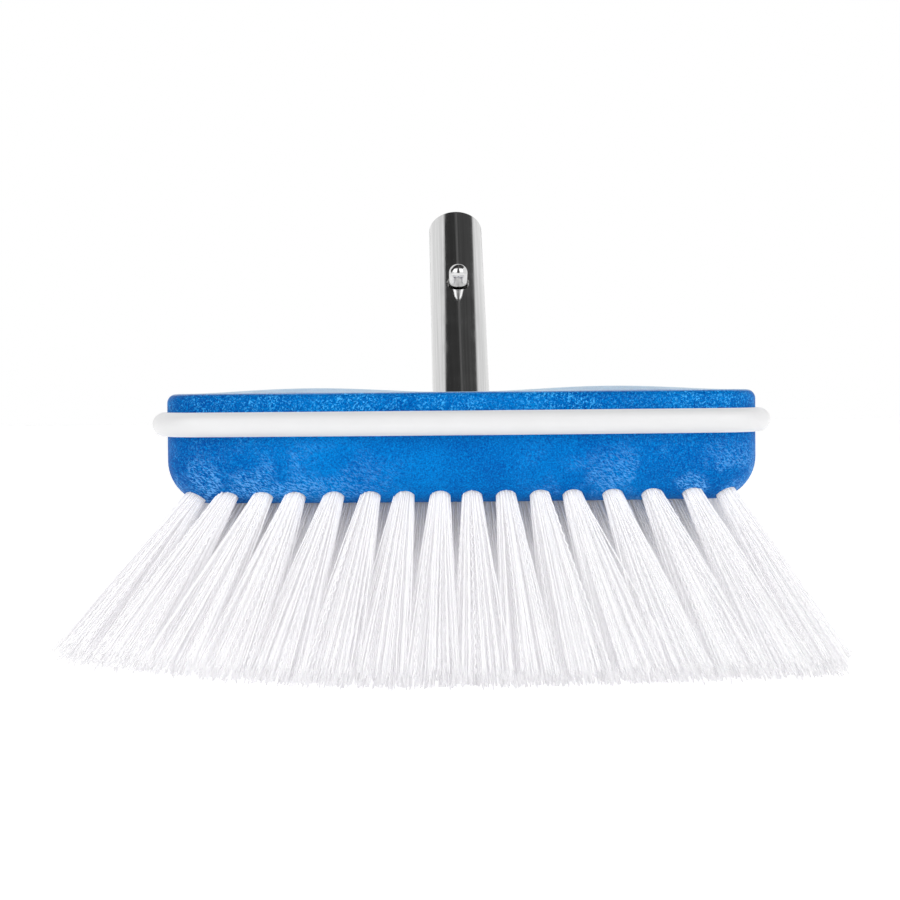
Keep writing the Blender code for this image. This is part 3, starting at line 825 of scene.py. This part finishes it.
def filament_paths(random, column, row, crimp, shares):
    """Centre lines of a tuft's filaments as an array (filament, point, xyz).

    shares are the filaments' places in the round bundle, as (aside, forth) from -1 to 1. Each filament
    starts in the hole and spreads to its place over the tuft's part of the cut end. crimp is a pitch and
    a height.
    """
    count = len(shares)
    crimp_pitch, crimp_height = crimp
    root = np.array(tuft_root(column, row))
    tip = np.array(tuft_tip(column, row))
    length = np.linalg.norm(tip - root)
    axis = (tip - root) / length
    across = np.array([1.0, 0, 0]) - axis * axis[0]
    across /= np.linalg.norm(across)
    forth = np.cross(across, axis)
    forth *= np.sign(forth[1])
    bundle = shares * (TUFT_RADIUS - FILAMENT_RADIUS)
    starts = root + axis * FILAMENT_START + bundle[:, :1] * across + bundle[:, 1:] * forth
    reach = filament_ends(random, column, row, shares) - starts
    steps = int(length / crimp_pitch * CRIMP_POINTS)
    progress = np.linspace(0, 1, steps + 1)
    paths = starts[:, None] + reach[:, None] * progress[None, :, None]
    settle = np.clip(progress / CRIMP_SETTLES, 0, 1)
    bow = np.sin(math.pi * progress) * random.normal(0, BOW, (count, 1))
    bow_angle = random.uniform(0, FULL_TURN, (count, 1))
    phase = random.uniform(0, FULL_TURN, (count, 1))
    pitch = random.normal(1, PITCH_SPREAD, (count, 1)) * FULL_TURN * length / crimp_pitch
    height = crimp_height * random.uniform(*CRIMP_HEIGHTS, (count, 1)) * settle
    wave = height * np.sin(phase + pitch * progress)
    wave_angle = random.uniform(0, FULL_TURN, (count, 1))
    aside = wave * np.cos(wave_angle) + bow * np.cos(bow_angle)
    ahead = wave * np.sin(wave_angle) + bow * np.sin(bow_angle)
    paths += aside[:, :, None] * across + ahead[:, :, None] * forth
    return paths, across, forth


def bundle_places(random, count):
    """Even places in a unit disc, from its middle to its rim, slightly shaken."""
    number = np.arange(count)
    radius = np.sqrt((number + 0.5) / count)
    angle = number * GOLDEN_ANGLE + random.uniform(0, FULL_TURN)
    places = np.stack([radius * np.cos(angle), radius * np.sin(angle)], axis=1)
    return places + random.normal(0, BUNDLE_SHAKE / math.sqrt(count), (count, 2))


def add_filaments(vertices, faces, paths, across, forth):
    """Adds each path as a thin closed prism."""
    turns = np.arange(FILAMENT_SIDES) * FULL_TURN / FILAMENT_SIDES
    ring = np.cos(turns)[:, None] * across + np.sin(turns)[:, None] * forth
    strand_count, points = paths.shape[:2]
    skin = paths[:, :, None] + ring * FILAMENT_RADIUS
    base = sum(len(earlier) for earlier in vertices)
    vertices.append(skin.reshape(-1, 3))
    for strand in range(strand_count):
        first = base + strand * points * FILAMENT_SIDES
        for point in range(points - 1):
            here = first + point * FILAMENT_SIDES
            for side in range(FILAMENT_SIDES):
                after = (side + 1) % FILAMENT_SIDES
                there = here + FILAMENT_SIDES
                faces.append((here + side, here + after, there + after, there + side))
        last = first + (points - 1) * FILAMENT_SIDES
        faces.append(tuple(first + side for side in reversed(range(FILAMENT_SIDES))))
        faces.append(tuple(last + side for side in range(FILAMENT_SIDES)))


def tuft_mesh(name, places, count, crimped_one_in):
    """One mesh of the filaments of several tufts. One filament in a few is finely crimped."""
    random = np.random.default_rng([ord(letter) for letter in name])
    crimped = np.arange(count) % crimped_one_in == crimped_one_in - 1
    vertices, faces = [], []
    for column, row in places:
        shares = bundle_places(random, count)
        for chosen, crimp in ((~crimped, SLACK_CRIMP), (crimped, FINE_CRIMP)):
            add_filaments(vertices, faces, *filament_paths(random, column, row, crimp, shares[chosen]))
    mesh = bpy.data.meshes.new(name)
    mesh.from_pydata(np.concatenate(vertices).tolist(), [], faces)
    mesh.update()
    mesh.shade_smooth()
    return mesh


def edge_tufts():
    """Name, column and row of each tuft round the edge."""
    columns = [number - HALF_COLUMNS for number in range(COLUMNS)]
    places = [
        (f"{side}_{number:02}", column, row)
        for side, row in (("front", -2), ("back", 2))
        for number, column in enumerate(columns, 1)
    ]
    places += [
        (f"{side}_end_{number}", column, row)
        for side, column in (("left", columns[0]), ("right", columns[-1]))
        for number, row in enumerate(END_COLUMN_ROWS, 1)
    ]
    return places


def inner_rows():
    """Name and places of the three inner rows. The two beside the middle one are staggered."""
    columns = [number - HALF_COLUMNS for number in range(1, COLUMNS - 1)]
    staggered = [column + 0.5 for column in columns[:-1]]
    rows = (
        ("row_inner_front", -1, staggered),
        ("row_middle", 0, columns),
        ("row_inner_back", 1, staggered),
    )
    return [(name, [(column, row) for column in places]) for name, row, places in rows]


def tuft_places():
    places = [(column, row) for _, column, row in edge_tufts()]
    return places + [place for _, row in inner_rows() for place in row]


# Edge tufts take the lit copy of the bristle material, the inner rows the copy with painted shade at the
# roots.
def build_bristles(lit_white, shaded_white):
    groups = [
        (name, [(column, row)], FILAMENTS_EDGE_TUFT, CRIMPED_ONE_IN, lit_white)
        for name, column, row in edge_tufts()
    ]
    groups += [
        (name, places, FILAMENTS_INNER_TUFT, INNER_CRIMPED_ONE_IN, shaded_white)
        for name, places in inner_rows()
    ]
    for name, places, count, crimped_one_in, white in groups:
        mesh = tuft_mesh(f"bristles_{name}", places, count, crimped_one_in)
        show(f"bristles_{name}", mesh, white, BRUSH, "white_bristle", f"tuft_{name}")


# Studio. A direction in the ceiling is given by how far aside and ahead it leads for each metre up, and
# an edge by where it starts and ends.

NEAR_HORIZON = 0.001
CEILING_DARK = 0.045
CEILING_LEFT = (-1.07, -0.9)
CEILING_RIGHT = (1.05, 0.85)
CEILING_FRONT = (-0.5, -0.3)
CEILING_BACK = (1.3, 1.0)
LEFT_EDGE_SLOPE = 1.24
SLIT_ASIDE = 0.03
SLIT_EDGE = (0.07, 0.02)
SLIT_LIGHT = 0.09
RIGHT_CEILING_EDGE = (0, 0.05)
RIGHT_CEILING_LIGHT = 0.03
FRONT_STRIP_DARK = 0.9
FRONT_STRIP_EDGE = (0.3, 0.18)
FRONT_STRIP_START = (0, -0.1)
KEY_POWER = 7.5
KEY_SIZE = 1.2
KEY_ASIDE = 1.0
KEY_FORWARD = -1.1
KEY_HEIGHT = 1.0
FLOOR_SIZE = 12
FLOOR_GLOW = 0.5
FLOOR_COLOUR = (0.92, 0.92, 0.92, 1)
LIGHT_BOUNCES = 12


def world_light():
    """White surroundings. The handle mirrors a dark ceiling, the button a dark strip in front of it."""
    world = bpy.data.worlds.new("studio")
    bpy.context.scene.world = world
    world.use_nodes = True
    tree = world.node_tree
    background = tree.nodes["Background"]
    background.inputs["Color"].default_value = WHITE_LIGHT

    def calculate(operation, *values):
        node = tree.nodes.new("ShaderNodeMath")
        node.operation = operation
        for socket, value in zip(node.inputs, values):
            if isinstance(value, (int, float)):
                socket.default_value = value
            else:
                tree.links.new(value, socket)
        return node.outputs[0]

    def step(value, limits):
        """0 before the first limit, 1 past the second, smooth in between. It rises or falls."""
        node = tree.nodes.new("ShaderNodeMapRange")
        node.interpolation_type = "SMOOTHSTEP"
        node.inputs["From Min"].default_value, node.inputs["From Max"].default_value = limits
        tree.links.new(value, node.inputs["Value"])
        return node.outputs["Result"]

    def product(*values):
        result = values[0]
        for value in values[1:]:
            result = calculate("MULTIPLY", result, value)
        return result

    split = tree.nodes.new("ShaderNodeSeparateXYZ")
    tree.links.new(tree.nodes.new("ShaderNodeTexCoord").outputs["Generated"], split.inputs[0])
    x, y, z = split.outputs
    height = calculate("MAXIMUM", z, NEAR_HORIZON)
    aside = calculate("DIVIDE", x, height)
    ahead = calculate("DIVIDE", y, height)
    # Round the tube, ahead grows by half of aside squared. Without that it is the place along the tube.
    along_tube = calculate("SUBTRACT", ahead, product(aside, aside, 0.5))
    left_edge = calculate("SUBTRACT", aside, product(along_tube, LEFT_EDGE_SLOPE))
    ceiling = product(
        step(left_edge, CEILING_LEFT),
        step(aside, CEILING_RIGHT),
        step(ahead, CEILING_FRONT),
        step(ahead, CEILING_BACK),
    )
    slit = step(calculate("ABSOLUTE", calculate("SUBTRACT", aside, SLIT_ASIDE)), SLIT_EDGE)
    forward = calculate("MAXIMUM", calculate("MULTIPLY", y, -1), NEAR_HORIZON)
    front_aside = calculate("ABSOLUTE", calculate("DIVIDE", x, forward))
    strip = product(step(front_aside, FRONT_STRIP_EDGE), step(y, FRONT_STRIP_START), FRONT_STRIP_DARK)
    dark_level = calculate("ADD", product(slit, SLIT_LIGHT), CEILING_DARK)
    right_part = product(step(aside, RIGHT_CEILING_EDGE), RIGHT_CEILING_LIGHT)
    dark_level = calculate("ADD", right_part, dark_level)
    lit = product(calculate("SUBTRACT", 1, strip), calculate("SUBTRACT", 1, ceiling))
    level = calculate("ADD", lit, product(ceiling, dark_level))
    tree.links.new(level, background.inputs["Strength"])


def build_studio():
    world_light()
    shape = bmesh.new()
    bmesh.ops.create_grid(shape, x_segments=1, y_segments=1, size=FLOOR_SIZE / 2)
    floor = bpy.data.objects.new("floor", mesh_of("floor", shape))
    paper = Finish(
        "pale_floor",
        roughness=0.9,
        Specular_IOR_Level=0.1,
        Base_Color=FLOOR_COLOUR,
        Emission_Strength=FLOOR_GLOW,
        Emission_Color=WHITE_LIGHT,
    )
    floor.data.materials.append(paper.material)
    bpy.context.scene.collection.objects.link(floor)
    for name, side in (("left_softbox", -1), ("right_softbox", 1)):
        light = bpy.data.lights.new(name, "AREA")
        light.size = KEY_SIZE
        light.energy = KEY_POWER
        lamp = bpy.data.objects.new(name, light)
        lamp.location = (side * KEY_ASIDE, KEY_FORWARD, KEY_HEIGHT)
        towards = Vector((0, 0, BLOCK_TOP)) - lamp.location
        lamp.rotation_euler = towards.to_track_quat("-Z", "Y").to_euler()
        bpy.context.scene.collection.objects.link(lamp)
    bpy.context.scene.cycles.diffuse_bounces = LIGHT_BOUNCES


def build_camera():
    data = bpy.data.cameras.new("camera")
    data.lens = CAMERA_LENS
    data.sensor_width = SENSOR_WIDTH
    camera = bpy.data.objects.new("camera", data)
    centre = Matrix.Translation((0, BLOCK_CENTRE_Y, BLOCK_TOP))
    place = Matrix.Translation((CAMERA_ASIDE, -CAMERA_DISTANCE, CAMERA_ABOVE_TOP))
    level = Matrix.Rotation(math.pi / 2 + CAMERA_PITCH, 4, "X")
    turned = Matrix.Rotation(CAMERA_TURN, 4, "Z") @ place @ level @ Matrix.Rotation(CAMERA_ROLL, 4, "Z")
    camera.matrix_world = centre @ turned
    bpy.context.scene.collection.objects.link(camera)
    bpy.context.scene.camera = camera
    bpy.context.scene.view_settings.view_transform = "Standard"


def dress_frame_nodes(steel, plastic):
    """The hidden pin and plug keep their CAD shapes."""
    for name, material in (("handle_cross_pin", steel), ("handle_end_plug", plastic)):
        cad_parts[name].material_slots[0].material = material


build_camera()
build_studio()
steel = stainless_tube()
build_block(blue_foam())
build_bumper(white_vinyl())
build_tube(steel)
build_button(polished_steel())
build_spring_clip(spring_steel())
dress_frame_nodes(steel, dark_plastic())
# Two copies of the bristle material: a lit one, and one with painted shade at the roots for the inner
# rows.
lit_white = white_bristle("lit_bristle", OPEN_PAINTED_GLOW)
build_bristles(lit_white, white_bristle("shaded_bristle", SHADED_PAINTED_GLOW))
